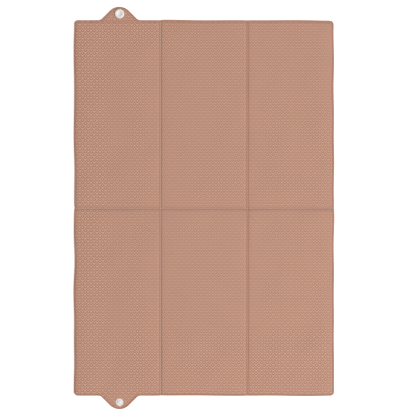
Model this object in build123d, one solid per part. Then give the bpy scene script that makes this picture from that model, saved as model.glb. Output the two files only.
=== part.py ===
"""A folding baby changing mat: six padded panels in three columns and two rows, with a press stud on two tabs.

X runs across the mat, Y along it and Z up from the table. The origin is on the table under the mat's centre.
Every size is in millimetres.
"""

import math
import os

from build123d import *

# The mat, lying open.
column_width = 150.0
row_length = 325.0
corner_radius = 7.0
crease_gap = 1.0

# The layers of one panel.
cover_thickness = 0.4
wadding_thickness = 2.6
wadding_inset = 0.8

# Air left between two layers that lie on each other in a fold.
layer_gap = 0.6

# The two tabs, cut in one with the left column's covers.
tab_offset = 3.8
tab_reach = 23.2
tab_tip_radius = 23.0
tab_side_angle = 45.0
tab_root_fillet = 9.0
reinforcement_thickness = 0.4
reinforcement_radius = 10.5

# The press stud: a cap on the back of each tab, its post through the tab, a socket or a stud on the front.
snap_from_tip = 12.2
cap_radius = 7.5
cap_thickness = 1.0
cap_edge_fillet = 0.45
post_radius = 2.0
post_hole_clearance = 0.1
rivet_clearance = 0.05
socket_radius = 8.0
socket_base = 0.7
socket_rim_fillet = 0.6
stud_radius = 6.5
stud_flange = 0.6
knob_radius = 2.9
knob_fillet = 0.4
mating_clearance = 0.4

# Heights worked out from the layers.
panel_thickness = wadding_thickness + 2 * cover_thickness
half_fold_height = panel_thickness + layer_gap / 2
folded_pair = 2 * panel_thickness + layer_gap
right_fold_height = folded_pair + layer_gap / 2
left_fold_height = (2 * right_fold_height + layer_gap + folded_pair) / 2
tab_back = cap_thickness
tab_front = tab_back + 2 * cover_thickness + reinforcement_thickness
seam_height = (tab_back + tab_front) / 2
tab_spacing = 2 * (half_fold_height - tab_front)
socket_height = tab_spacing - stud_flange - mating_clearance
knob_height = tab_spacing - socket_base - stud_flange - mating_clearance

# Places worked out from the panels.
half_width = 1.5 * column_width
crease_x = column_width / 2
tab_x = -column_width + tab_offset
tip_y = row_length + tab_reach
snap_y = tip_y - snap_from_tip

COLUMNS = ("left", "middle", "right")
ROWS = ("lower", "upper")


def panel_limits(row, column):
    """The panel's low and high X and Y, half a crease gap short of each fold line."""
    gap = crease_gap / 2
    low_x = {"left": -half_width, "middle": -crease_x + gap, "right": crease_x + gap}
    high_x = {"left": -crease_x - gap, "middle": crease_x - gap, "right": half_width}
    low_y = {"lower": -row_length, "upper": gap}
    high_y = {"lower": -gap, "upper": row_length}
    return low_x[column], high_x[column], low_y[row], high_y[row]


def panel_outline(row, column, inset=0.0):
    """The panel's flat outline, with the mat's own corner rounded."""
    low_x, high_x, low_y, high_y = panel_limits(row, column)
    centre = ((low_x + high_x) / 2, (low_y + high_y) / 2)
    outline = Pos(*centre) * Rectangle(high_x - low_x - 2 * inset, high_y - low_y - 2 * inset)
    if column == "middle":
        return outline
    side = -1 if column == "left" else 1
    end = -1 if row == "lower" else 1
    corner = max(outline.vertices(), key=lambda vertex: side * vertex.X + end * vertex.Y)
    return fillet(corner, max(corner_radius - inset, 1.0))


def tab_outline(row):
    """The part of a tab beyond the mat's end: a round tip, straight sloping sides and hollow roots."""
    end = -1 if row == "lower" else 1
    slope = math.radians(tab_side_angle)
    centre_y = tip_y - tab_tip_radius
    shoulder_x = tab_tip_radius * math.sin(slope)
    shoulder_y = centre_y + tab_tip_radius * math.cos(slope)
    root_x = shoulder_x + (shoulder_y - row_length) / math.tan(slope)
    left_root, right_root = (tab_x - root_x, row_length), (tab_x + root_x, row_length)
    left_shoulder, right_shoulder = (tab_x - shoulder_x, shoulder_y), (tab_x + shoulder_x, shoulder_y)
    edges = [
        Line(left_root, left_shoulder),
        ThreePointArc(left_shoulder, (tab_x, tip_y), right_shoulder),
        Line(right_shoulder, right_root),
        Line(right_root, left_root),
    ]
    low_x, high_x, low_y, high_y = panel_limits("upper", "left")
    panel = Pos((low_x + high_x) / 2, (low_y + high_y) / 2) * Rectangle(high_x - low_x, high_y - low_y)
    joined = panel + make_face(edges)
    roots = [
        vertex
        for vertex in joined.vertices()
        if abs(vertex.Y - row_length) < 0.01 and abs(abs(vertex.X - tab_x) - root_x) < 0.01
    ]
    outline = fillet(roots, tab_root_fillet) - panel
    return outline if end > 0 else mirror(outline, about=Plane.XZ)


def snap_place(row):
    """Where the press stud's axis meets the table."""
    return (tab_x, snap_y if row == "upper" else -snap_y)


def layer(outline, bottom, thickness):
    """A flat layer of that outline, from its underside up."""
    return Pos(0, 0, bottom) * extrude(outline, thickness)


def post_hole(row, bottom, thickness):
    """The hole for the cap's post through one layer of a tab."""
    hole = Pos(*snap_place(row)) * Circle(post_radius + post_hole_clearance)
    return layer(hole, bottom, thickness)


def cover(row, column, front):
    """One panel's front or back cover: a sheet with its hem turned in to the seam, and the tab where it has one."""
    outline = panel_outline(row, column)
    inside = panel_outline(row, column, cover_thickness)
    bottom = seam_height if front else 0.0
    height = panel_thickness - seam_height if front else seam_height
    hollow_bottom = seam_height if front else cover_thickness
    shell = layer(outline, bottom, height) - layer(inside, hollow_bottom, height - cover_thickness)
    if column != "left":
        return shell
    tab_bottom = tab_front - cover_thickness if front else tab_back
    tab = layer(tab_outline(row), tab_bottom, cover_thickness)
    return shell + (tab - post_hole(row, tab_bottom, cover_thickness))


def wadding(row, column):
    """One panel's sheet of wadding, inside its covers."""
    outline = panel_outline(row, column, cover_thickness + wadding_inset)
    return layer(outline, cover_thickness, wadding_thickness)


def tab_reinforcement(row):
    """The disc of stiff tape between a tab's two covers, which the press stud is riveted through."""
    bottom = tab_back + cover_thickness
    disc = layer(Pos(*snap_place(row)) * Circle(reinforcement_radius), bottom, reinforcement_thickness)
    end = 1 if row == "upper" else -1
    inner_edge = row_length + cover_thickness
    beyond = layer(
        Pos(tab_x, end * (inner_edge + tab_reach)) * Rectangle(4 * cap_radius + tab_reach, 2 * tab_reach),
        bottom,
        reinforcement_thickness,
    )
    return (disc & beyond) - post_hole(row, bottom, reinforcement_thickness)


def snap_cap(row, post_top):
    """A domed cap under the tab, with the post that rivets it to the socket or the stud."""
    disc = Cylinder(cap_radius, cap_thickness, align=(Align.CENTER, Align.CENTER, Align.MIN))
    disc = fillet(disc.edges().group_by(Axis.Z)[0], cap_edge_fillet)
    post = Cylinder(post_radius, post_top, align=(Align.CENTER, Align.CENTER, Align.MIN))
    return Pos(*snap_place(row)) * (disc + post)


def snap_socket(row):
    """The socket: a ring with a rounded rim and a round well for the stud's knob."""
    ring = Cylinder(socket_radius, socket_height, align=(Align.CENTER, Align.CENTER, Align.MIN))
    ring = fillet(ring.edges().group_by(Axis.Z)[-1], socket_rim_fillet)
    well_radius = knob_radius + mating_clearance
    well = Pos(0, 0, socket_base) * Cylinder(
        well_radius, socket_height, align=(Align.CENTER, Align.CENTER, Align.MIN)
    )
    rivet = Cylinder(post_radius + rivet_clearance, 2 * socket_base)
    return Pos(*snap_place(row), tab_front) * (ring - well - rivet)


def snap_stud(row):
    """The stud: a thin flange with a round knob that enters the socket's well."""
    flange = Cylinder(stud_radius, stud_flange, align=(Align.CENTER, Align.CENTER, Align.MIN))
    knob = Pos(0, 0, stud_flange) * Cylinder(
        knob_radius, knob_height, align=(Align.CENTER, Align.CENTER, Align.MIN)
    )
    knob = fillet(knob.edges().group_by(Axis.Z)[-1], knob_fillet)
    rivet = Cylinder(post_radius + rivet_clearance, 2 * stud_flange)
    return Pos(*snap_place(row), tab_front) * (flange + knob - rivet)


def pieces():
    """Every piece of the mat, by its node's name."""
    made = {}
    for row in ROWS:
        for column in COLUMNS:
            made[f"front_cover_{row}_{column}"] = cover(row, column, front=True)
            made[f"back_cover_{row}_{column}"] = cover(row, column, front=False)
            made[f"wadding_{row}_{column}"] = wadding(row, column)
        made[f"tab_reinforcement_{row}"] = tab_reinforcement(row)
    made["snap_socket"] = snap_socket("upper")
    made["snap_socket_cap"] = snap_cap("upper", tab_front + socket_base)
    made["snap_stud"] = snap_stud("lower")
    made["snap_stud_cap"] = snap_cap("lower", tab_front + stud_flange)
    return made


os.makedirs("parts", exist_ok=True)
for name, piece in pieces().items():
    export_step(piece, f"parts/{name}.step")
print(f"half fold axis at z {half_fold_height:.2f}, right {right_fold_height:.2f}, left {left_fold_height:.2f}")
print(f"snap at ({tab_x:.1f}, {snap_y:.1f}), socket {socket_height:.2f} high, knob {knob_height:.2f} high")
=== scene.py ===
"""The looks of a folding baby changing mat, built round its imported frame.

The mat is six padded panels of printed coated cotton, sewn through at the fold lines, with a tab at each end
of the left column and a moulded press stud on the tabs. Every size is in metres, in the frame's own axes.
"""

import logging
import math
from dataclasses import dataclass, field
from enum import Enum
from typing import Any

import bmesh
import bpy
import numpy as np
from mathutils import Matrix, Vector


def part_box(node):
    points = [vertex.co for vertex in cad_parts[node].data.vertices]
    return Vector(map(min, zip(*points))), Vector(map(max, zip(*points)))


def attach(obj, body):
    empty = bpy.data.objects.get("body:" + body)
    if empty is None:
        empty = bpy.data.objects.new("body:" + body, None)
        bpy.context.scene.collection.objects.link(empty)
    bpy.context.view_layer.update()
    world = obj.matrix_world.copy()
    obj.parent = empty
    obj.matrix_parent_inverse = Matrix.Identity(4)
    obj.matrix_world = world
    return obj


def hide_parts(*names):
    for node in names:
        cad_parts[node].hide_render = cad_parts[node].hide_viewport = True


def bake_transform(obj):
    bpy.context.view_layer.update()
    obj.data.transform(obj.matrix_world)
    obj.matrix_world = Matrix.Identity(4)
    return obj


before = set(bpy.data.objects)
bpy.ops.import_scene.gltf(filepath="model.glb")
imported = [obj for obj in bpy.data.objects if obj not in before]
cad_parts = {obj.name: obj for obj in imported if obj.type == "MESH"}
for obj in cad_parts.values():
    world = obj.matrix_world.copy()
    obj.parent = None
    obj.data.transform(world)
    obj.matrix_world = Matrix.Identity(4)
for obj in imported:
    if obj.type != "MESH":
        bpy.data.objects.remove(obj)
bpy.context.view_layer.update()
LOG = logging.getLogger("changing_mat")
MM = 0.001
WELD = 1e-6
SLIVER = 1e-7
CHUNK = 1500
Colour = tuple[float, float, float]
NEAR_SEAM = (0.0, 0.12, 0.35, 0.7, 1.1, 1.6, 2.1, 2.6, 3.0, 3.4, 3.8, 4.3, 5.1, 6.3, 7.8)


class Row(Enum):
    """The two rows of panels, each with the sign of its Y."""

    LOWER = -1
    UPPER = 1


class Column(Enum):
    """The three columns of panels."""

    LEFT = "left"
    MIDDLE = "middle"
    RIGHT = "right"


def smooth(low: float, high: float, value: np.ndarray) -> np.ndarray:
    """A smooth step from 0 at low to 1 at high."""
    t = np.clip((value - low) / (high - low), 0.0, 1.0)
    return t * t * (3.0 - 2.0 * t)


# --- Shader and geometry nodes ---


class Value:
    """A number socket that Python's operators work on, each adding a Math node."""

    def __init__(self, graph: "Graph", socket: Any) -> None:
        """Wraps a node's output socket."""
        self.graph = graph
        self.socket = socket

    def _math(self, operation: str, *others: Any) -> "Value":
        """Adds one Math node on this value and the others."""
        inputs = dict(enumerate((self, *others)))
        return self.graph.node("ShaderNodeMath", {"operation": operation}, inputs)

    def __add__(self, other: Any) -> "Value":
        """self + other."""
        return self._math("ADD", other)

    __radd__ = __add__

    def __sub__(self, other: Any) -> "Value":
        """self - other."""
        return self._math("SUBTRACT", other)

    def __rsub__(self, other: Any) -> "Value":
        """other - self."""
        return self.graph.node("ShaderNodeMath", {"operation": "SUBTRACT"}, {0: other, 1: self})

    def __mul__(self, other: Any) -> "Value":
        """self * other."""
        return self._math("MULTIPLY", other)

    __rmul__ = __mul__

    def __truediv__(self, other: Any) -> "Value":
        """self / other."""
        return self._math("DIVIDE", other)

    def fraction(self) -> "Value":
        """The part after the decimal point, never negative."""
        return self._math("FRACT")

    def size(self) -> "Value":
        """The value without its sign."""
        return self._math("ABSOLUTE")

    def sine(self) -> "Value":
        """The sine of the value, in radians."""
        return self._math("SINE")

    def least(self, other: Any) -> "Value":
        """The lower of two values."""
        return self._math("MINIMUM", other)

    def most(self, other: Any) -> "Value":
        """The higher of two values."""
        return self._math("MAXIMUM", other)

    def length_with(self, other: "Value") -> "Value":
        """The length of a flat vector with these two components."""
        return (self * self + other * other)._math("SQRT")

    def step(self, low: float, high: float, start: float = 0.0, end: float = 1.0) -> "Value":
        """A smooth step of the value.

        Args:
            low: the value where the step starts.
            high: the value where it ends.
            start: the result up to low.
            end: the result from high on.

        Returns:
            The stepped value.
        """
        settings = {"interpolation_type": "SMOOTHSTEP"}
        inputs = {"Value": self, "From Min": low, "From Max": high, "To Min": start, "To Max": end}
        return self.graph.node("ShaderNodeMapRange", settings, inputs)


class Graph:
    """One material's node tree."""

    def __init__(self, name: str) -> None:
        """Starts a material of that name with one Principled shader."""
        self.material = bpy.data.materials.new(name)
        self.material.use_nodes = True
        self.tree = self.material.node_tree
        self.shader = self.tree.nodes["Principled BSDF"]

    def node(self, kind: str, settings: dict[str, Any], inputs: dict[Any, Any], output: Any = 0) -> Value:
        """Adds any node.

        Args:
            kind: the node's type.
            settings: its properties, set first.
            inputs: its sockets' values or links, by name or number.
            output: the output socket to return.

        Returns:
            The output, as a Value.
        """
        made = self.tree.nodes.new(kind)
        for key, value in settings.items():
            setattr(made, key, value)
        for key, value in inputs.items():
            self.join(value, made.inputs[key])
        return Value(self, made.outputs[output])

    def join(self, value: Any, socket: Any) -> None:
        """Feeds one socket.

        Args:
            value: a Value to link, or a plain number or colour to set.
            socket: the input socket.
        """
        if isinstance(value, Value):
            self.tree.links.new(value.socket, socket)
        else:
            socket.default_value = value

    def set(self, **values: Any) -> None:
        """Sets or links the shader's sockets, with underscores for spaces."""
        for key, value in values.items():
            self.join(value, self.shader.inputs[key.replace("_", " ")])

    def mix(self, share: Any, first: Any, second: Any) -> Value:
        """The colour that is first where share is 0 and second where it is 1."""
        inputs = {0: share, 6: first, 7: second}
        return self.node("ShaderNodeMix", {"data_type": "RGBA"}, inputs, output=2)

    def noise(self, where: Value, scale: float, detail: float = 3.0) -> Value:
        """Smooth noise about 0.5 at that scale."""
        inputs = {"Vector": where, "Scale": scale, "Detail": detail}
        return self.node("ShaderNodeTexNoise", {}, inputs)

    def bump(self, height: Value, distance: float, strength: float = 1.0) -> Value:
        """A bumped normal for a height from 0 to 1 that stands for that distance."""
        inputs = {"Height": height, "Distance": distance, "Strength": strength}
        return self.node("ShaderNodeBump", {}, inputs)

    def split(self, vector: Value) -> tuple[Value, Value, Value]:
        """Splits a vector.

        Args:
            vector: the vector.

        Returns:
            Its three components.
        """
        made = self.tree.nodes.new("ShaderNodeSeparateXYZ")
        self.join(vector, made.inputs[0])
        x, y, z = (Value(self, made.outputs[n]) for n in range(3))
        return x, y, z


def colour(tint: Colour, factor: float = 1.0) -> tuple[float, float, float, float]:
    """Makes a linear colour.

    Args:
        tint: the 0 to 255 values of a paint chart.
        factor: how much lighter or darker than that it is.

    Returns:
        The linear red, green and blue, and an opaque alpha.
    """

    def linear(value: float) -> float:
        """One channel, by the sRGB curve."""
        share = value / 255.0
        return share / 12.92 if share <= 0.04045 else ((share + 0.055) / 1.055) ** 2.4

    red, green, blue = (linear(channel * factor) for channel in tint)
    return red, green, blue, 1.0


# --- Finishes ---


@dataclass(frozen=True)
class PrintedCotton:
    """Coated cotton with a trellis of thin lines, a leaf at each crossing and a dot in each diamond."""

    ground: Colour = (177.0, 123.0, 100.0)
    ink: Colour = (217.0, 185.0, 165.0)
    # Wear and painted shade: in the fold valleys and round the turned edge the ink is faded and the ground
    # painted darker.
    wear_and_shade_ground: Colour = (173.0, 118.0, 93.0)
    wear_and_shade_ink: float = 0.1
    patch_dark: float = 0.975
    patch_light: float = 1.025
    patch_scale: float = 14.0
    fleck_scale: float = 900.0
    fleck_ink: float = 0.82
    repeat_x: float = 10.0 * MM
    repeat_y: float = 9.72 * MM
    line_half: float = 0.34 * MM
    line_ink: float = 0.85
    leaf_length: float = 2.4 * MM
    hollow_radius: float = 2.95 * MM
    gap_drop: float = 0.9 * MM
    gap_radius: float = 0.7 * MM
    dot_radius: float = 0.9 * MM
    lift: float = 0.5 * MM
    edge: float = 0.34 * MM
    thread_pitch: float = 0.5 * MM
    weave_share: float = 0.7
    weave_height: float = 0.04 * MM
    weave_strength: float = 0.45
    roughness: float = 0.56

    def ink_share(self, x: Value, y: Value) -> Value:
        """Draws the print.

        Args:
            x: the place across the cloth.
            y: the place along it.

        Returns:
            How much ink lies there, from 0 to 1.
        """
        across = x / self.repeat_x
        along = y / self.repeat_y
        spacing = 1.0 / math.hypot(1.0 / self.repeat_x, 1.0 / self.repeat_y)
        inks = []
        for diagonal in (along + across, along - across):
            off = ((diagonal + 0.5).fraction() - 0.5).size() * spacing
            inks.append(off.step(self.line_half, self.line_half + self.edge, self.line_ink, 0.0))
        near_x, far_x = self.offsets(across, self.repeat_x)
        near_y, far_y = self.offsets(along, self.repeat_y)
        lines = inks[0].most(inks[1])
        centres = near_x.length_with(far_y).least(far_x.length_with(near_y))
        hollow = centres.step(self.hollow_radius, self.hollow_radius + self.edge)
        shapes = []
        for off_x, off_y in ((near_x, near_y), (far_x, far_y)):
            inside = off_y - off_x.size() * (self.repeat_y / self.repeat_x)
            low = off_y.step(self.leaf_length, self.leaf_length + self.edge, 1.0, 0.0)
            leaf = inside.step(-self.edge, self.edge) * low * hollow
            gap = off_x.length_with(off_y + self.gap_drop).step(self.gap_radius, self.gap_radius + self.edge)
            lines = lines * gap
            shapes.append(leaf)
        for off_x, off_y in ((near_x, far_y), (far_x, near_y)):
            dot = off_x.length_with(off_y - self.lift)
            shapes.append(dot.step(self.dot_radius, self.dot_radius + self.edge, 1.0, 0.0))
        share = lines
        for shape in shapes:
            share = share.most(shape)
        return share

    def offsets(self, turns: Value, repeat: float) -> tuple[Value, Value]:
        """Distances from the nearest whole and the nearest half repeat."""
        return ((turns + 0.5).fraction() - 0.5) * repeat, (turns.fraction() - 0.5) * repeat

    def make(self, name: str) -> bpy.types.Material:
        """Mixes the cloth's finish, which reads the piece's own cloth map.

        Args:
            name: the material's name.

        Returns:
            The material.
        """
        graph = Graph(name)
        place = graph.node("ShaderNodeUVMap", {"uv_map": "cloth"}, {})
        x, y, _ = graph.split(place)
        share = self.ink_share(x, y)
        patches = graph.noise(place, self.patch_scale)
        fleck = graph.noise(place, self.fleck_scale, 2.0)
        dark, light = colour(self.ground, self.patch_dark), colour(self.ground, self.patch_light)
        tone = graph.mix(patches, dark, light)
        # Wear and painted shade: faded ink and a darker ground along the fold valleys, just below the half
        # fold and round the rim, where those slopes lie in shade.
        wear_and_shade = graph.node("ShaderNodeAttribute", {"attribute_name": "wear_and_shade"}, {}, output="Fac")
        share = share * (1.0 - wear_and_shade * (1.0 - self.wear_and_shade_ink))
        tone = graph.mix(wear_and_shade, tone, colour(self.wear_and_shade_ground))
        base = graph.mix(share * fleck.step(0.2, 0.5, self.fleck_ink, 1.0), tone, colour(self.ink))
        turns = 2.0 * math.pi / self.thread_pitch
        warp, weft = (x * turns).sine(), (y * turns).sine()
        weave = (warp * weft) * 0.5 + 0.5
        fine = weave * self.weave_share + fleck * (1.0 - self.weave_share)
        graph.set(
            Base_Color=base,
            Roughness=patches * 0.12 + self.roughness - share * 0.05,
            Normal=graph.bump(fine, self.weave_height, self.weave_strength),
            Sheen_Weight=0.05,
            Sheen_Roughness=0.5,
            Specular_IOR_Level=0.25,
        )
        return graph.material


@dataclass(frozen=True)
class SewingThread:
    """Twisted polyester sewing thread."""

    tint: Colour = (246.0, 226.0, 214.0)
    shade: float = 0.9
    twist_pitch: float = 0.35 * MM

    def make(self, name: str) -> bpy.types.Material:
        """Mixes the thread's finish.

        Args:
            name: the material's name.

        Returns:
            The material.
        """
        graph = Graph(name)
        place = graph.node("ShaderNodeTexCoord", {}, {}, output="Object")
        x, y, _ = graph.split(place)
        # The twist's grooves, where the bump is low, are painted darker: painted shade.
        twist = ((x + y) * (2.0 * math.pi / self.twist_pitch)).sine() * 0.5 + 0.5
        graph.set(
            Base_Color=graph.mix(twist, colour(self.tint, self.shade), colour(self.tint)),
            Roughness=0.45,
            Normal=graph.bump(twist, 0.05 * MM, 0.5),
            Sheen_Weight=0.2,
        )
        return graph.material


@dataclass(frozen=True)
class MouldedResin:
    """Off-white moulded resin with a soft gloss and faint rubbing marks."""

    tint: Colour = (240.0, 237.0, 234.0)
    shade: float = 0.96
    cloud_scale: float = 220.0
    rub_scale: float = 2600.0

    def make(self, name: str) -> bpy.types.Material:
        """Mixes the resin's finish.

        Args:
            name: the material's name.

        Returns:
            The material.
        """
        graph = Graph(name)
        place = graph.node("ShaderNodeTexCoord", {}, {}, output="Object")
        cloud = graph.noise(place, self.cloud_scale)
        rub = graph.noise(place, self.rub_scale, 4.0)
        graph.set(
            Base_Color=graph.mix(cloud, colour(self.tint, self.shade), colour(self.tint)),
            Roughness=rub.step(0.35, 0.7, 0.26, 0.42),
            Normal=graph.bump(rub, 0.02 * MM, 0.3),
            Subsurface_Weight=0.08,
            Subsurface_Scale=1.0 * MM,
            Coat_Weight=0.15,
        )
        return graph.material


@dataclass(frozen=True)
class StudioPaper:
    """The pale matt paper that the mat lies on."""

    tint: Colour = (250.0, 250.0, 250.0)
    shade: float = 0.985
    grain_scale: float = 40.0
    glow: float = 0.45

    def make(self, name: str) -> bpy.types.Material:
        """Mixes the paper's finish.

        Args:
            name: the material's name.

        Returns:
            The material.
        """
        graph = Graph(name)
        place = graph.node("ShaderNodeTexCoord", {}, {}, output="Object")
        grain = graph.noise(place, self.grain_scale)
        graph.set(
            Base_Color=graph.mix(grain, colour(self.tint, self.shade), colour(self.tint)),
            Roughness=0.9,
            Emission_Color=(1.0, 1.0, 1.0, 1.0),
            Emission_Strength=self.glow,
        )
        return graph.material


# --- Mesh helpers ---


def finish_mesh(
    name: str, verts: np.ndarray, faces: list[tuple[int, ...]], sharp_deg: float
) -> bpy.types.Object:
    """Makes a welded, smooth-shaded object with outward faces.

    Args:
        name: the piece's name.
        verts: its points, one row each.
        faces: its faces, as numbers of points.
        sharp_deg: edges that turn by more than this stay sharp.

    Returns:
        The new object, at the origin.
    """
    mesh = bpy.data.meshes.new(name)
    mesh.from_pydata(verts.tolist(), [], faces)
    work = bmesh.new()
    work.from_mesh(mesh)
    bmesh.ops.remove_doubles(work, verts=work.verts, dist=WELD)
    bmesh.ops.dissolve_degenerate(work, edges=work.edges, dist=SLIVER)
    bmesh.ops.recalc_face_normals(work, faces=work.faces)
    work.to_mesh(mesh)
    work.free()
    mesh.shade_smooth()
    mesh.set_sharp_from_angle(angle=math.radians(sharp_deg))
    obj = bpy.data.objects.new(name, mesh)
    bpy.context.scene.collection.objects.link(obj)
    return obj


def lathe(
    name: str, profile: list[tuple[float, float]], centre: Vector, segments: int = 72
) -> bpy.types.Object:
    """Turns a closed profile about an upright axis.

    Args:
        name: the piece's name.
        profile: (radius, height) points, from the axis round and back to it.
        centre: the point on the axis that heights start from.
        segments: the number of steps round.

    Returns:
        The new object.
    """
    rings = np.array(profile, float)
    turn = np.linspace(0.0, 2.0 * math.pi, segments, endpoint=False)
    verts = np.stack(
        [
            centre.x + rings[:, None, 0] * np.cos(turn),
            centre.y + rings[:, None, 0] * np.sin(turn),
            centre.z + np.repeat(rings[:, 1:2], segments, axis=1),
        ],
        axis=-1,
    ).reshape(-1, 3)
    faces = []
    for ring in range(len(profile) - 1):
        for step in range(segments):
            after = (step + 1) % segments
            low, high = ring * segments, (ring + 1) * segments
            faces.append((low + step, low + after, high + after, high + step))
    return finish_mesh(name, verts, faces, sharp_deg=50.0)


def graded(low: float, high: float, fine: tuple[bool, bool], step: float) -> np.ndarray:
    """Spaces positions along one side of a grid.

    Args:
        low: the first position.
        high: the last one.
        fine: whether they stand closer together at the low and at the high end.
        step: the spacing elsewhere.

    Returns:
        The positions, rising.
    """
    near = np.array(NEAR_SEAM) * MM
    start = low + near if fine[0] else np.array([low])
    end = high - near[::-1] if fine[1] else np.array([high])
    count = max(2, int(round((end[0] - start[-1]) / step)))
    middle = np.linspace(start[-1], end[0], count + 1)[1:-1]
    return np.concatenate([start, middle, end])


# --- The mat's shape ---


@dataclass(frozen=True)
class MatShape:
    """The mat's outline and the height of its two faces, worked out from the frame."""

    corner_radius: float = 7.0 * MM
    tip_radius: float = 23.0 * MM
    root_fillet: float = 9.0 * MM
    loop_left: float = 10.0 * MM
    loop_right: float = 7.0 * MM
    loop_half: float = 2.8 * MM
    crease_left: float = 0.0
    crease_right: float = 0.0
    half_width: float = 0.0
    half_length: float = 0.0
    tip_y: float = 0.0
    top: float = 0.0
    seam: float = 0.0
    tab_front: float = 0.0
    snap_x: float = 0.0
    snap_y: float = 0.0
    end_points: int = 1800
    corner_points: int = 60
    side_points: int = 1100
    known: dict[tuple[int, int, float], np.ndarray] = field(default_factory=dict)

    @classmethod
    def from_frame(cls) -> "MatShape":
        """Reads the mat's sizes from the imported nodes.

        Returns:
            The mat's shape.
        """
        left_low, left_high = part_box("front_cover_lower_left")
        middle_low, middle_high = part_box("front_cover_lower_middle")
        right_low, right_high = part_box("front_cover_lower_right")
        socket_low, socket_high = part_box("snap_socket")
        return cls(
            crease_left=(left_high.x + middle_low.x) / 2,
            crease_right=(middle_high.x + right_low.x) / 2,
            half_width=right_high.x,
            half_length=-right_low.y,
            tip_y=-left_low.y,
            top=right_high.z,
            seam=right_low.z,
            tab_front=socket_low.z,
            snap_x=(socket_low.x + socket_high.x) / 2,
            snap_y=(socket_low.y + socket_high.y) / 2,
        )

    def tab_height(self, x: np.ndarray) -> np.ndarray:
        """Draws the tab's outline: a round tip, straight shoulders and a fillet at each root.

        Args:
            x: places across the mat.

        Returns:
            How far the outline stands beyond the mat's end there.
        """
        reach = self.tip_y - self.half_length
        off = np.abs(x - self.snap_x)
        half_turn = math.sqrt(0.5)
        shoulder_x = self.tip_radius * half_turn
        shoulder_y = reach - self.tip_radius + self.tip_radius * half_turn
        root_x = shoulder_x + shoulder_y
        tangent = self.root_fillet * math.tan(math.pi / 8)
        fillet_start, fillet_end = root_x - tangent * half_turn, root_x + tangent
        tip = reach - self.tip_radius + np.sqrt(np.clip(self.tip_radius**2 - off**2, 0.0, None))
        side = root_x - off
        into = np.clip(fillet_end - off, 0.0, self.root_fillet)
        root = self.root_fillet - np.sqrt(self.root_fillet**2 - into**2)
        return np.where(off < shoulder_x, tip, np.where(off < fillet_start, side, root))

    def end_edge(self, x: np.ndarray) -> np.ndarray:
        """Draws the mat's end: corner, straight end and tab.

        Args:
            x: places across the mat.

        Returns:
            The end's distance from the half fold there.
        """
        into = np.clip(np.abs(x) - (self.half_width - self.corner_radius), 0.0, self.corner_radius)
        corner = self.corner_radius - np.sqrt(self.corner_radius**2 - into**2)
        return self.half_length - corner + self.tab_height(x)

    def outline(self) -> np.ndarray:
        """Follows one end of the mat and both sides.

        Returns:
            Points along them, one row each.
        """
        corner = self.corner_radius * (1 - np.cos(np.linspace(0, math.pi / 2, self.corner_points)))
        straight = np.linspace(-self.half_width, self.half_width, self.end_points)
        xs = np.concatenate([straight, -self.half_width + corner, self.half_width - corner])
        end = np.stack([xs, self.end_edge(xs)], axis=1)
        ys = np.linspace(0.0, self.half_length - self.corner_radius, self.side_points)
        edges = (-self.half_width, self.half_width)
        sides = [np.stack([np.full_like(ys, edge), ys], axis=1) for edge in edges]
        return np.concatenate([end, *sides])

    def edge_distance(self, x: np.ndarray, y: np.ndarray, reach: float = 30.0 * MM) -> np.ndarray:
        """Measures how far points are from the mat's outline, once for each set of points.

        Args:
            x: places across the mat.
            y: places along it.
            reach: the most that is measured.

        Returns:
            The distance of each point, capped at reach.
        """
        key = (hash(x.tobytes()), hash(y.tobytes()), reach)
        if key in self.known:
            return self.known[key]
        points = np.stack([x, np.abs(y)], axis=1)
        outline = self.outline()
        found = np.full(len(points), reach)
        near = (self.end_edge(x) - points[:, 1] < reach * 1.5) | (self.half_width - np.abs(x) < reach)
        close = np.flatnonzero(near)
        for chunk in np.array_split(close, max(1, len(close) // CHUNK)):
            gap = points[chunk, None, :] - outline[None, :, :]
            found[chunk] = np.minimum(np.sqrt((gap**2).sum(-1).min(1)), reach)
        self.known[key] = found
        return found

    def crease_distance(self, x: np.ndarray, y: np.ndarray) -> tuple[np.ndarray, np.ndarray]:
        """The distances to the nearest upright fold line and to the half fold."""
        across = np.minimum(np.abs(x - self.crease_left), np.abs(x - self.crease_right))
        return across, np.abs(y)


@dataclass(frozen=True)
class DragLine:
    """One soft slanting fold that runs out from an upright fold line, with its sizes in millimetres.

    The signs say which fold line it leaves, and to which side of that line and of the half fold it runs.
    """

    crease: int
    side_x: int
    side_y: int
    start: float
    slope: float
    length: float
    height: float


DRAG_LINES = (
    DragLine(-1, -1, -1, 46.0, -0.55, 40.0, 0.6),
    DragLine(-1, 1, -1, 9.0, 0.9, 30.0, 0.2),
    DragLine(1, 1, 1, 9.0, 0.5, 34.0, 0.22),
    DragLine(1, -1, 1, 9.0, 0.8, 26.0, 0.18),
    DragLine(1, 1, -1, 9.0, 0.75, 38.0, 0.24),
    DragLine(-1, -1, 1, 9.0, 0.4, 30.0, 0.2),
)


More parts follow.
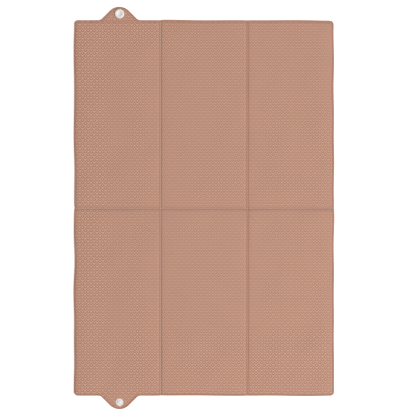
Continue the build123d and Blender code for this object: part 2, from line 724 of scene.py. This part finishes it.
@dataclass(frozen=True)
class Relief:
    """The padded faces' height: crowned panels, sewn valleys, a rolled edge, puckers and slow waves."""

    shape: MatShape
    groove: float = 2.6 * MM
    wall_power: float = 1.4
    crown: float = 9.0 * MM
    groove_share: float = 0.66
    valley: float = 0.4
    edge_roll: float = 1.3 * MM
    edge_share: float = 0.36
    edge_crown: float = 8.0 * MM
    edge_calm: float = 2.5 * MM
    stitch_inset: float = 3.4 * MM
    tab_stitch_inset: float = 2.2 * MM
    tab_stitch_share: float = 0.6
    tab_start: float = 5.0 * MM
    tab_end: float = 2.5 * MM
    tab_calm: float = 0.85
    stitch_depth: float = 0.38 * MM
    stitch_width: float = 0.75 * MM
    pucker_height: float = 0.13 * MM
    pucker_pitch: float = 11.0 * MM
    pucker_reach: float = 9.0 * MM
    pucker_wander: float = 1.6
    pucker_wander_pitch: float = 90 * MM
    pucker_patch_pitch: float = 120 * MM
    pucker_edge_share: float = 0.8
    pucker_seeds: tuple[int, int, int] = (11, 12, 13)
    wave_height: float = 0.22 * MM
    wave_pitch: float = 70.0 * MM
    wave_seed: int = 5
    drag_width: float = 2.2 * MM
    drag_spread: float = 0.05
    drag_start: float = 6.0 * MM
    back_lift: float = 0.55
    # The band of faded ink and painted shade: its width, its shift below the half fold onto the side in
    # shade, its widening at the half fold and its strength at the rim.
    wear_and_shade_width: float = 2.2 * MM
    painted_shade_shift: float = 1.4 * MM
    wear_and_shade_half_fold: float = 1.2
    wear_and_shade_rim: float = 0.8
    rub_turn: float = 0.55
    rub_fade: float = 1.5 * MM
    drift_size: float = 0.55 * MM
    drift_pitch: float = 110 * MM
    drift_reach: float = 30.0 * MM
    drift_seeds: tuple[int, int] = (21, 22)
    tab_steady: float = 12 * MM
    nick: float = 0.9 * MM
    nick_reach: float = 8 * MM
    nick_width: float = 3 * MM

    def waves(self, x: np.ndarray, y: np.ndarray, pitch: float, seed: int, count: int = 7) -> np.ndarray:
        """Adds up slow random waves.

        Args:
            x: places across the mat.
            y: places along it.
            pitch: about how far apart the crests are.
            seed: the seed of their directions and phases.
            count: how many waves there are.

        Returns:
            Their sum there, between about -1 and 1.
        """
        random = np.random.default_rng(seed)
        total = np.zeros_like(x)
        for _ in range(count):
            angle, phase = random.uniform(0, 2 * math.pi, 2)
            stretch = random.uniform(0.6, 1.6)
            rate = 2 * math.pi * stretch / pitch
            total += np.sin(rate * (x * math.cos(angle) + y * math.sin(angle)) + phase)
        return total / math.sqrt(count)

    def puckers(self, x: np.ndarray, y: np.ndarray) -> np.ndarray:
        """Gathers the cloth a little square to each seam, fading away from it.

        Args:
            x: places across the mat.
            y: places along it.

        Returns:
            The gathers' height there, between about -1 and 1.
        """
        across, along = self.shape.crease_distance(x, y)
        edge = self.shape.edge_distance(x, y)
        rows = 2 * math.pi / self.pucker_pitch
        seed_y, seed_x, seed_patch = self.pucker_seeds
        wander_y = self.pucker_wander * self.waves(y, x, self.pucker_wander_pitch, seed_y)
        wander_x = self.pucker_wander * self.waves(x, y, self.pucker_wander_pitch, seed_x)
        by_y, by_x = np.sin(rows * y + wander_y), np.sin(rows * x + wander_x)
        side = self.shape.half_width - np.abs(x)
        end = self.shape.end_edge(x) - np.abs(y)
        reach = self.pucker_reach
        gathers = by_y * np.exp(-across / reach) + by_x * np.exp(-along / reach)
        gathers += np.where(side < end, by_y, by_x) * self.pucker_edge_share * np.exp(-edge / reach)
        strength = 0.65 + 0.35 * self.waves(x, y, self.pucker_patch_pitch, seed_patch)
        return gathers * strength

    def fullness(self, x: np.ndarray, y: np.ndarray) -> np.ndarray:
        """Works out how full the padding is.

        Args:
            x: places across the mat.
            y: places along it.

        Returns:
            The fullness there, from the valley's share where two fold lines cross to 1 in the open panel.
        """

        def rise(distance: np.ndarray) -> np.ndarray:
            """A steep groove wall, then a slow crown."""
            wall = self.groove_share * (1 - self.groove_fall(distance))
            slow = (1 - self.groove_share) * (1 - np.exp(-distance / self.crown))
            return self.valley + (1 - self.valley) * (wall + slow)

        across, along = self.shape.crease_distance(x, y)
        return rise(across) * rise(along)

    def groove_fall(self, distance: np.ndarray) -> np.ndarray:
        """How strongly a fold line's stitching pulls, from 1 on the line to 0 away from it."""
        return np.exp(-((distance / self.groove) ** self.wall_power))

    def roll(self, edge: np.ndarray) -> np.ndarray:
        """The quarter round of the turned edge: 0 on the outline, 1 a radius inside it."""
        short = 1 - np.clip(edge / self.edge_roll, 0.0, 1.0)
        return np.sqrt(np.clip(1 - short**2, 0.0, 1.0))

    def tab_share(self, y: np.ndarray) -> np.ndarray:
        """0 on the padded panel and 1 on the flat tab."""
        length = self.shape.half_length
        return smooth(length - self.tab_start, length + self.tab_end, np.abs(y))

    def stitch_dimple(self, x: np.ndarray, y: np.ndarray, edge: np.ndarray) -> np.ndarray:
        """Pulls the cloth in along the topstitching.

        Args:
            x: places across the mat.
            y: places along it.
            edge: their distances from the outline.

        Returns:
            How far the cloth is pulled in there, from 0 to 1.
        """
        shape = self.shape
        off_x = np.abs(x) - (shape.half_width - self.stitch_inset)
        off_y = np.abs(y) - (shape.half_length - self.stitch_inset)
        outside = np.hypot(np.clip(off_x, 0.0, None), np.clip(off_y, 0.0, None))
        line = np.abs(outside + np.minimum(np.maximum(off_x, off_y), 0.0))
        on_tab = self.tab_share(y)
        tab_line = np.abs(edge - self.tab_stitch_inset)
        dimple = np.exp(-((line / self.stitch_width) ** 2))
        tab_dimple = np.exp(-((tab_line / self.stitch_width) ** 2))
        return np.maximum(dimple, self.tab_stitch_share * on_tab * tab_dimple)

    def drag_lines(self, x: np.ndarray, y: np.ndarray) -> np.ndarray:
        """Raises the soft slanting folds.

        Args:
            x: places across the mat.
            y: places along it.

        Returns:
            Their height there.
        """
        shape = self.shape
        total = np.zeros_like(x)
        for line in DRAG_LINES:
            from_x = shape.crease_left if line.crease < 0 else shape.crease_right
            run = (x - from_x) * line.side_x
            off = np.abs(y) - (line.start * MM + run * line.slope)
            here = (run > 0) & (y * line.side_y > 0)
            width = self.drag_width + run * self.drag_spread
            ending = smooth(0.3 * line.length * MM, line.length * MM, run)
            fade = smooth(0.0, self.drag_start, run) * (1 - ending)
            ridge = np.exp(-((off / width) ** 2)) - 0.6 * np.exp(-(((off - 2 * width) / width) ** 2))
            total += np.where(here, line.height * MM * fade * ridge, 0.0)
        return total

    def front(self, x: np.ndarray, y: np.ndarray) -> np.ndarray:
        """Shapes the front face.

        Args:
            x: places across the mat.
            y: places along it.

        Returns:
            The face's height there.
        """
        shape = self.shape
        edge = shape.edge_distance(x, y)
        swell = self.edge_share + (1 - self.edge_share) * (1 - np.exp(-edge / self.edge_crown))
        padded = (shape.top - shape.seam) * self.fullness(x, y) * swell
        flat = shape.tab_front - shape.seam
        tab = self.tab_share(y)
        rise = padded * (1 - tab) + flat * tab
        slow = self.wave_height * self.waves(x, y, self.wave_pitch, self.wave_seed)
        gathers = self.pucker_height * self.puckers(x, y)
        ripple = gathers + slow * self.fullness(x, y) + self.drag_lines(x, y)
        inner = smooth(0.0, self.edge_calm, edge)
        dimple = self.stitch_depth * self.stitch_dimple(x, y, edge) * inner
        return shape.seam + rise * self.roll(edge) + ripple * inner * (1 - self.tab_calm * tab) - dimple

    def back(self, x: np.ndarray, y: np.ndarray) -> np.ndarray:
        """Shapes the back face, which lies flat on the table but for the seams.

        Args:
            x: places across the mat.
            y: places along it.

        Returns:
            The face's height there.
        """
        shape = self.shape
        edge = shape.edge_distance(x, y)
        across, along = shape.crease_distance(x, y)
        lift = self.back_lift * (self.groove_fall(across) + self.groove_fall(along))
        padded = shape.seam * (1 - np.clip(lift, 0.0, self.back_lift * 1.2))
        flat = shape.tab_front - shape.seam
        tab = self.tab_share(y)
        dimple = self.stitch_depth * self.stitch_dimple(x, y, edge) * smooth(0.0, self.edge_calm, edge)
        return shape.seam - (padded * (1 - tab) + flat * tab) * self.roll(edge) + dimple

    def wear_and_shade(self, x: np.ndarray, y: np.ndarray) -> np.ndarray:
        """Marks wear and painted shade: faded print and a darker ground along the fold lines, just below the
        half fold and round the turned edge.

        Args:
            x: places across the mat.
            y: places along it.

        Returns:
            How much wear and painted shade the front has there, from 0 to 1.
        """
        across, _ = self.shape.crease_distance(x, y)
        edge = self.shape.edge_distance(x, y)
        below = np.abs(y + self.painted_shade_shift)
        upright = np.exp(-((across / self.wear_and_shade_width) ** 2))
        fold = upright + np.exp(-((below / (self.wear_and_shade_half_fold * self.wear_and_shade_width)) ** 2))
        rim = 1 - smooth(1.0 * MM, 3.0 * MM, edge)
        return np.clip(np.maximum(fold, self.wear_and_shade_rim * rim), 0.0, 1.0)

    def wear_and_shade_back(self, x: np.ndarray, y: np.ndarray) -> np.ndarray:
        """Marks the back's wear and painted shade too, with more wear over the outside of each fold's turn.

        Args:
            x: places across the mat.
            y: places along it.

        Returns:
            How much wear and painted shade the back has there, from 0 to 1.
        """
        shape = self.shape
        ending = smooth(shape.loop_half, shape.loop_half + self.rub_fade, y)
        turn = smooth(-self.rub_fade, 0.0, y) * (1 - ending)
        for crease, loop in ((shape.crease_left, shape.loop_left), (shape.crease_right, shape.loop_right)):
            turn = np.maximum(turn, np.exp(-(((x - crease) / (self.rub_turn * loop)) ** 2)))
        return np.maximum(self.wear_and_shade(x, y), turn)

    def drift(self, x: np.ndarray, y: np.ndarray) -> tuple[np.ndarray, np.ndarray]:
        """Makes the edges wavy and nicks them in at the fold lines.

        Args:
            x: places across the mat.
            y: places along it.

        Returns:
            How far the cloth there lies off its pattern, across and along.
        """
        shape = self.shape
        edge = shape.edge_distance(x, y)
        loose = 0.3 + 0.7 * (1 - smooth(0.0, self.drift_reach, edge))
        near_tab = smooth(shape.half_length - self.tab_steady, shape.half_length, np.abs(y))
        steady = 1 - near_tab * (x < shape.crease_left)
        size = self.drift_size * loose * steady
        across, along = shape.crease_distance(x, y)
        to_end = shape.half_length - np.clip(np.abs(y), 0, shape.half_length)
        near_side = np.exp(-(shape.half_width - np.abs(x)) / self.nick_reach)
        near_end = np.exp(-to_end / self.nick_reach)
        nick_x = self.nick * np.exp(-along / self.nick_width) * near_side * np.sign(x)
        nick_y = 0.5 * self.nick * np.exp(-across / self.nick_width) * near_end * np.sign(y)
        seed_x, seed_y = self.drift_seeds
        by_x = size * self.waves(x, y, self.drift_pitch, seed_x) - nick_x
        by_y = size * self.waves(x, y, self.drift_pitch, seed_y) - nick_y
        return by_x, by_y


# --- Which bodies a piece follows ---


@dataclass(frozen=True)
class Bend:
    """How a panel's cloth crosses its fold: it turns from one body to the other between two points."""

    first: str
    second: str
    start: tuple[float, float, float]
    end: tuple[float, float, float]

    def apply(self, obj: bpy.types.Object) -> None:
        """Bakes the piece's placement into its mesh."""
        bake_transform(obj)


def bends(shape: MatShape) -> dict[str, Bend]:
    """Works out how each panel bends. The half fold turns in the upper panels' first few millimetres.

    Args:
        shape: the mat's shape.

    Returns:
        The bend of each panel, by the panel's key.
    """
    made = {}
    left, left_loop = shape.crease_left, shape.loop_left
    right, right_loop = shape.crease_right, shape.loop_right
    at_left = Bend("lower_middle", "lower_left", (left + left_loop, 0, 0), (left - left_loop, 0, 0))
    at_right = Bend("lower_middle", "lower_right", (right - right_loop, 0, 0), (right + right_loop, 0, 0))
    made["lower_left"], made["lower_middle_a"] = at_left, at_left
    made["lower_right"], made["lower_middle_b"] = at_right, at_right
    for column in Column:
        lower, upper = f"lower_{column.value}", f"upper_{column.value}"
        made[upper] = Bend(lower, upper, (0, 0, 0), (0, shape.loop_half, 0))
    return made


# --- Pieces ---


@dataclass
class PaddedPanel:
    """One padded panel of the mat, or half of the middle one, as a closed crowned pad."""

    shape: MatShape
    relief: Relief
    key: str
    row: Row
    low_x: float
    high_x: float
    body: str
    grid_step: float = 2.1 * MM
    end_band: float = 27.0 * MM

    def plan(self) -> tuple[np.ndarray, np.ndarray]:
        """Lays out the panel's grid.

        Returns:
            Two tables, of each point's X and Y.
        """
        fine = (abs(self.low_x) > 1 * MM, abs(self.high_x) > 1 * MM)
        columns = graded(self.low_x, self.high_x, fine, self.grid_step)
        inner = graded(0.0, self.shape.half_length - self.end_band, (True, False), self.grid_step)
        ends = self.shape.end_edge(columns)
        band = graded(0.0, 1.0, (False, False), 0.1)
        fine_end = np.array(NEAR_SEAM[::-1]) * MM
        rows = [np.full_like(columns, y) for y in inner]
        start = inner[-1]
        rows += [start + share * (ends - fine_end[0] - start) for share in band[1:]]
        rows += [ends - short for short in fine_end[1:]]
        y = np.stack(rows, axis=1) * self.row.value
        x = np.repeat(columns[:, None], y.shape[1], axis=1)
        return x, y

    def make(self, front: bpy.types.Material, back: bpy.types.Material) -> bpy.types.Object:
        """Builds the pad and dresses its two faces.

        Args:
            front: the front cloth.
            back: the back cloth.

        Returns:
            The pad.
        """
        x, y = self.plan()
        count_x, count_y = x.shape
        flat_x, flat_y = x.ravel(), y.ravel()
        top = np.stack([flat_x, flat_y, self.relief.front(flat_x, flat_y)], axis=1)
        under = np.stack([flat_x, flat_y, self.relief.back(flat_x, flat_y)], axis=1)
        number = np.arange(count_x * count_y).reshape(count_x, count_y)
        below = number + count_x * count_y
        faces = []
        for i in range(count_x - 1):
            for j in range(count_y - 1):
                k, m = i + 1, j + 1
                faces.append((number[i, j], number[k, j], number[k, m], number[i, m]))
                faces.append((below[i, j], below[i, m], below[k, m], below[k, j]))
        rim = [(number[i, 0], below[i, 0]) for i in range(count_x)]
        rim += [(number[-1, j], below[-1, j]) for j in range(1, count_y)]
        rim += [(number[i, -1], below[i, -1]) for i in range(count_x - 2, -1, -1)]
        rim += [(number[0, j], below[0, j]) for j in range(count_y - 2, 0, -1)]
        for (a, b), (c, d) in zip(rim, rim[1:] + rim[:1]):
            faces.append((a, b, d, c))
        faces = [tuple(int(n) for n in face) for face in faces]
        verts = np.concatenate([top, under])
        obj = finish_mesh(f"padded_panel_{self.key}", verts, faces, sharp_deg=42.0)
        self.dress(obj, front, back)
        return obj

    def dress(
        self, obj: bpy.types.Object, front: bpy.types.Material, back: bpy.types.Material
    ) -> None:
        """Gives the pad its cloth map, in metres, its two cloths and its wavy edges.

        Args:
            obj: the pad.
            front: the front cloth.
            back: the back cloth.
        """
        mesh = obj.data
        mesh.materials.append(front)
        mesh.materials.append(back)
        corners = np.zeros(len(mesh.loops), np.int32)
        mesh.loops.foreach_get("vertex_index", corners)
        places = np.zeros(len(mesh.vertices) * 3)
        mesh.vertices.foreach_get("co", places)
        places = places.reshape(-1, 3)
        cloth = mesh.uv_layers.new(name="cloth")
        cloth.data.foreach_set("uv", places[corners, :2].astype(np.float32).ravel())
        under = places[:, 2] < self.shape.seam
        # Wear and painted shade: each point's share of faded print and darker ground, for the cloth's
        # material.
        wear_and_shade_share = self.relief.wear_and_shade(places[:, 0], places[:, 1])
        wear_and_shade_share = np.where(under, self.relief.wear_and_shade_back(places[:, 0], places[:, 1]), wear_and_shade_share)
        wear_and_shade = mesh.attributes.new("wear_and_shade", "FLOAT", "POINT")
        wear_and_shade.data.foreach_set("value", wear_and_shade_share.astype(np.float32))
        facing = np.zeros(len(mesh.polygons) * 3)
        mesh.polygons.foreach_get("normal", facing)
        slots = (facing.reshape(-1, 3)[:, 2] < 0).astype(np.int32)
        mesh.polygons.foreach_set("material_index", slots)
        by_x, by_y = self.relief.drift(places[:, 0], places[:, 1])
        places[:, 0] += by_x
        places[:, 1] += by_y
        mesh.vertices.foreach_set("co", places.ravel())
        mesh.update()

    def replaced(self) -> list[str]:
        """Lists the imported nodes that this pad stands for.

        Returns:
            Their names.
        """
        nodes = [f"{kind}_{self.body}" for kind in ("front_cover", "back_cover", "wadding")]
        if self.body.endswith("left"):
            nodes.append(f"tab_reinforcement_{self.row.name.lower()}")
        return nodes


class Seam(Enum):
    """The two kinds of seam on a panel."""

    FOLD = "fold_seam"
    TOPSTITCH = "topstitching"


@dataclass
class Stitching:
    """One panel's lockstitch seams on both faces: along its fold lines, or just inside its outer edges."""

    panel: PaddedPanel
    seam: Seam
    pitch: float = 3.2 * MM
    stitch_length: float = 2.8 * MM
    topstitch_thread: float = 0.8 * MM
    fold_thread: float = 0.95 * MM
    fold_shift: float = 0.45 * MM
    proud: float = 0.55
    half_fold_shift: float = 0.9 * MM
    across_points: int = 160
    along_points: int = 240
    first_stitch: float = 0.4 * MM
    tab_reach: float = 34.0 * MM

    def runs(self) -> list[np.ndarray]:
        """Lays out the panel's seam lines.

        Returns:
            Each line's points in plan, one row each.
        """
        panel = self.panel
        shape, sign = panel.shape, panel.row.value
        at_left = panel.low_x <= MM - shape.half_width
        at_right = panel.high_x >= shape.half_width - MM
        inset = panel.relief.stitch_inset
        low = panel.low_x + (inset if at_left else 0.0)
        high = panel.high_x - (inset if at_right else 0.0)
        end = shape.half_length - inset
        across = np.linspace(low, high, self.across_points)
        along = np.linspace(self.first_stitch, end, self.along_points)

        def crosswise(y: float) -> np.ndarray:
            """A line across the panel at y."""
            return np.stack([across, np.full_like(across, y)], axis=1)

        def lengthwise(x: float) -> np.ndarray:
            """A line along the panel at x."""
            return np.stack([np.full_like(along, x), along * sign], axis=1)

        if self.seam is Seam.TOPSTITCH:
            found = [crosswise(end * sign)]
            if at_left:
                found += [lengthwise(low), self.tab_run(sign)]
            if at_right:
                found.append(lengthwise(high))
            return found
        found = []
        if panel.row is Row.LOWER:
            found.append(crosswise(-self.half_fold_shift))
        if at_left:
            found.append(lengthwise(high - self.fold_shift))
        if at_right:
            found.append(lengthwise(low + self.fold_shift))
        return found

    @property
    def thread(self) -> float:
        """The thread's thickness."""
        return self.fold_thread if self.seam is Seam.FOLD else self.topstitch_thread

    def tab_run(self, sign: int) -> np.ndarray:
        """Follows the tab's outline, inside its edge.

        Args:
            sign: the sign of the panel's Y.

        Returns:
            The line's points in plan, one row each.
        """
        shape = self.panel.shape
        xs = shape.snap_x + np.linspace(-self.tab_reach, self.tab_reach, self.across_points)
        edge = shape.end_edge(xs)
        slope = np.gradient(edge, xs)
        tilt = np.sqrt(1 + slope**2)
        inset = self.panel.relief.tab_stitch_inset
        inner = np.stack([xs + inset * slope / tilt, (edge - inset / tilt) * sign], axis=1)
        return inner[inner[:, 1] * sign > shape.half_length - 0.8 * MM]

    def make(self, material: bpy.types.Material) -> bpy.types.Object:
        """Lays the seam lines on both faces and grows a stitch at every pitch.

        Args:
            material: the thread's material.

        Returns:
            The stitches, as one piece.
        """
        verts: list[np.ndarray] = []
        edges: list[tuple[int, int]] = []
        for run in self.runs():
            for face, lift in ((self.panel.relief.front, 1.0), (self.panel.relief.back, -1.0)):
                height = face(run[:, 0], run[:, 1]) + lift * self.thread * self.proud
                height = np.maximum(height, self.thread * 0.5)
                by_x, by_y = self.panel.relief.drift(run[:, 0], run[:, 1])
                start = sum(len(v) for v in verts)
                verts.append(np.column_stack([run[:, 0] + by_x, run[:, 1] + by_y, height]))
                edges += [(start + n, start + n + 1) for n in range(len(run) - 1)]
        mesh = bpy.data.meshes.new("seam_lines")
        mesh.from_pydata(np.concatenate(verts).tolist(), edges, [])
        obj = bpy.data.objects.new(f"{self.seam.value}_{self.panel.key}", mesh)
        bpy.context.scene.collection.objects.link(obj)
        grow_stitches(obj, material, self.pitch, self.stitch_length, self.thread)
        return obj


def grow_stitches(
    obj: bpy.types.Object, material: bpy.types.Material, pitch: float, length: float, thread: float
) -> None:
    """Replaces an object's seam lines by stitches, with a geometry node tree.

    Args:
        obj: the object, whose mesh is loose lines.
        material: the thread's material.
        pitch: the distance from one stitch to the next.
        length: each stitch's length.
        thread: the thread's thickness.
    """
    tree = bpy.data.node_groups.get("lockstitch") or stitch_tree()
    modifier = obj.modifiers.new("stitches", "NODES")
    modifier.node_group = tree
    values = {"Pitch": pitch, "Length": length, "Thread": thread, "Material": material}
    for item in tree.interface.items_tree:
        if item.item_type == "SOCKET" and item.in_out == "INPUT" and item.name in values:
            modifier[item.identifier] = values[item.name]
    bpy.context.view_layer.update()
    result = obj.evaluated_get(bpy.context.evaluated_depsgraph_get())
    mesh = bpy.data.meshes.new_from_object(result)
    obj.modifiers.clear()
    obj.data = mesh
    mesh.shade_smooth()


def stitch_tree() -> bpy.types.NodeTree:
    """Builds the tree that resamples seam lines and sets a rounded stitch along each step.

    Returns:
        The tree, with inputs for the pitch, the length, the thread and the material.
    """
    tree = bpy.data.node_groups.new("lockstitch", "GeometryNodeTree")
    tree.interface.new_socket("Geometry", in_out="INPUT", socket_type="NodeSocketGeometry")
    for name in ("Pitch", "Length", "Thread"):
        tree.interface.new_socket(name, in_out="INPUT", socket_type="NodeSocketFloat")
    tree.interface.new_socket("Material", in_out="INPUT", socket_type="NodeSocketMaterial")
    tree.interface.new_socket("Geometry", in_out="OUTPUT", socket_type="NodeSocketGeometry")

    add = tree.nodes.new
    source, sink = add("NodeGroupInput"), add("NodeGroupOutput")
    curve, points = add("GeometryNodeMeshToCurve"), add("GeometryNodeCurveToPoints")
    points.mode = "LENGTH"
    bead = add("GeometryNodeMeshUVSphere")
    for name, value in (("Segments", 7), ("Rings", 5), ("Radius", 0.5)):
        bead.inputs[name].default_value = value
    size, turn = add("ShaderNodeCombineXYZ"), add("FunctionNodeAlignRotationToVector")
    turn.axis = "X"
    place = add("GeometryNodeInstanceOnPoints")
    real, paint = add("GeometryNodeRealizeInstances"), add("GeometryNodeSetMaterial")
    links = (
        (source, "Geometry", curve, "Mesh"),
        (curve, "Curve", points, "Curve"),
        (source, "Material", paint, "Material"),
        (source, "Pitch", points, "Length"),
        (source, "Length", size, "X"),
        (source, "Thread", size, "Y"),
        (source, "Thread", size, "Z"),
        (points, "Tangent", turn, "Vector"),
        (points, "Points", place, "Points"),
        (bead, "Mesh", place, "Instance"),
        (turn, "Rotation", place, "Rotation"),
        (size, "Vector", place, "Scale"),
        (place, "Instances", real, "Geometry"),
        (real, "Geometry", paint, "Geometry"),
        (paint, "Geometry", sink, "Geometry"),
    )
    for start, output, end, socket in links:
        tree.links.new(start.outputs[output], end.inputs[socket])
    return tree


@dataclass
class PressStud:
    """The moulded press stud: a socket and a stud on the tabs' fronts, with a domed cap behind each."""

    shape: MatShape
    resin: bpy.types.Material

    def centre(self, row: Row, height: float) -> Vector:
        """The press stud's axis on one tab, at a height."""
        return Vector((self.shape.snap_x, self.shape.snap_y * row.value, height))

    def piece(
        self, name: str, node: str, profile: list[tuple[float, float]], row: Row, base: float
    ) -> None:
        """Turns one part and hangs it on its tab's body.

        Args:
            name: the piece's name.
            node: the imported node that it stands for.
            profile: its (radius, height) points, in millimetres.
            row: the row whose tab it is on.
            base: the height that the profile starts from.
        """
        metres = [(r * MM, z * MM) for r, z in profile]
        obj = lathe(name, metres, self.centre(row, base))
        obj.data.materials.append(self.resin)
        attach(obj, f"{row.name.lower()}_left")
        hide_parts(node)
        LOG.info("made %s", name)

    def make(self) -> None:
        """Builds the socket, the stud and their caps."""
        front = self.shape.tab_front
        rise = (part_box("snap_socket")[1].z - front) / MM
        knob = (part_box("snap_stud")[1].z - front) / MM
        wide = (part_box("snap_socket")[1].x - self.shape.snap_x) / MM
        narrow = (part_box("snap_stud")[1].x - self.shape.snap_x) / MM
        cap = (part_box("snap_stud_cap")[1].x - self.shape.snap_x) / MM
        socket = [
            (0.0, 0.74),
            (2.8, 0.74),
            (3.2, 0.82),
            (3.32, 1.0),
            (3.4, 1.34),
            (3.6, 1.52),
            (4.0, 1.6),
            (4.5, 1.68),
            (5.0, rise - 0.1),
            (5.6, rise - 0.01),
            (6.4, rise),
            (7.1, rise - 0.08),
            (7.5, rise - 0.25),
            (wide - 0.2, rise - 0.55),
            (wide, 0.95),
            (wide, 0.25),
            (wide - 0.2, 0.0),
            (0.0, 0.0),
        ]
        stud = [
            (0.0, knob - 0.25),
            (0.9, knob - 0.22),
            (1.5, knob - 0.02),
            (2.1, knob),
            (2.6, knob - 0.15),
            (2.85, knob - 0.5),
            (2.6, knob - 0.85),
            (2.65, 0.4),
            (3.0, 0.3),
            (4.0, 0.3),
            (4.4, 0.42),
            (4.8, 0.6),
            (5.6, 0.6),
            (6.2, 0.5),
            (narrow, 0.25),
            (narrow - 0.1, 0.0),
            (0.0, 0.0),
        ]
        back = self.shape.seam * 2 - front
        dome = [
            (0.0, -back / MM),
            (2.0, -back / MM),
            (cap * 0.72, -back / MM + 0.06),
            (cap * 0.9, -back / MM + 0.22),
            (cap, -back / MM + 0.55),
            (cap, -0.12),
            (cap - 0.15, 0.0),
            (0.0, 0.0),
        ]
        self.piece("press_socket", "snap_socket", socket, Row.UPPER, front)
        self.piece("press_stud", "snap_stud", stud, Row.LOWER, front)
        self.piece("press_socket_cap", "snap_socket_cap", dome, Row.UPPER, back)
        self.piece("press_stud_cap", "snap_stud_cap", dome, Row.LOWER, back)


@dataclass
class ChangingMat:
    """The whole mat: panels, stitching and press stud."""

    shape: MatShape
    relief: Relief

    def panels(self) -> list[PaddedPanel]:
        """Lists the seven pads: three above the half fold, and below it three, the middle one in halves.

        Returns:
            The pads, not yet built.
        """
        shape = self.shape
        edges = {
            "left": (-shape.half_width, shape.crease_left),
            "middle": (shape.crease_left, shape.crease_right),
            "right": (shape.crease_right, shape.half_width),
        }
        made = []
        for column, (low, high) in edges.items():
            key = f"upper_{column}"
            made.append(PaddedPanel(shape, self.relief, key, Row.UPPER, low, high, key))
            if column != "middle":
                key = f"lower_{column}"
                made.append(PaddedPanel(shape, self.relief, key, Row.LOWER, low, high, key))
        halves = (("a", shape.crease_left, 0.0), ("b", 0.0, shape.crease_right))
        for half, low, high in halves:
            key = f"lower_middle_{half}"
            made.append(PaddedPanel(shape, self.relief, key, Row.LOWER, low, high, "lower_middle"))
        return made

    def make(self) -> None:
        """Builds every piece; only the press stud's parts are hung on their tabs' bodies."""
        front = PrintedCotton().make("printed_cotton")
        back = PrintedCotton().make("printed_cotton_back")
        threads = {
            Seam.FOLD: SewingThread().make("fold_thread"),
            Seam.TOPSTITCH: SewingThread(tint=(192.0, 142.0, 118.0)).make("topstitch_thread"),
        }
        bend = bends(self.shape)
        for panel in self.panels():
            pad = panel.make(front, back)
            bend[panel.key].apply(pad)
            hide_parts(*panel.replaced())
            for seam, thread in threads.items():
                if seam is Seam.FOLD and panel.key == "upper_middle":
                    continue
                stitches = Stitching(panel, seam).make(thread)
                bend[panel.key].apply(stitches)
            LOG.info("made %s with %d faces", pad.name, len(pad.data.polygons))
        PressStud(self.shape, MouldedResin().make("moulded_resin")).make()


@dataclass
class Studio:
    """A pale floor, soft light from the right and a little below, and a camera straight above."""

    lens: float = 100.0
    view_width: float = 0.7205
    aim_x: float = 6.9 * MM
    aim_y: float = 0.0
    sensor: float = 36.0
    floor_half: float = 14.0
    floor_gap: float = 0.02 * MM
    key_place: tuple[float, float, float] = (6.0, -2.4, 4.4)
    key_size: float = 3.0
    key_power: float = 485.0
    sky: float = 0.545

    def light(self) -> None:
        """Hangs a square soft box that faces the mat."""
        data = bpy.data.lights.new("key_light", "AREA")
        data.shape, data.size, data.energy = "SQUARE", self.key_size, self.key_power
        obj = bpy.data.objects.new("key_light", data)
        obj.location = self.key_place
        obj.rotation_euler = (-Vector(self.key_place)).to_track_quat("-Z", "Y").to_euler()
        bpy.context.scene.collection.objects.link(obj)

    def make(self) -> None:
        """Builds the floor, the light, the sky and the camera."""
        corners = np.array([(-1, -1, 0), (1, -1, 0), (1, 1, 0), (-1, 1, 0)], float)
        corners = corners * self.floor_half - (0, 0, self.floor_gap)
        floor = finish_mesh("studio_floor", corners, [(0, 1, 2, 3)], sharp_deg=30.0)
        floor.data.materials.append(StudioPaper().make("studio_paper"))
        self.light()
        world = bpy.data.worlds.new("studio")
        world.use_nodes = True
        background = world.node_tree.nodes["Background"]
        background.inputs["Color"].default_value = (1.0, 1.0, 1.0, 1.0)
        background.inputs["Strength"].default_value = self.sky
        scene = bpy.context.scene
        scene.world = world
        scene.view_settings.view_transform = "Standard"
        scene.view_settings.look = "None"
        data = bpy.data.cameras.new("camera")
        data.lens, data.sensor_width = self.lens, self.sensor
        camera = bpy.data.objects.new("camera", data)
        camera.location = (self.aim_x, self.aim_y, self.view_width * self.lens / self.sensor)
        scene.collection.objects.link(camera)
        scene.camera = camera


def main() -> None:
    """Builds the studio and the mat."""
    logging.basicConfig(level=logging.INFO, format="%(name)s: %(message)s")
    shape = MatShape.from_frame()
    Studio().make()
    ChangingMat(shape, Relief(shape)).make()


if __name__ == "__main__":
    main()
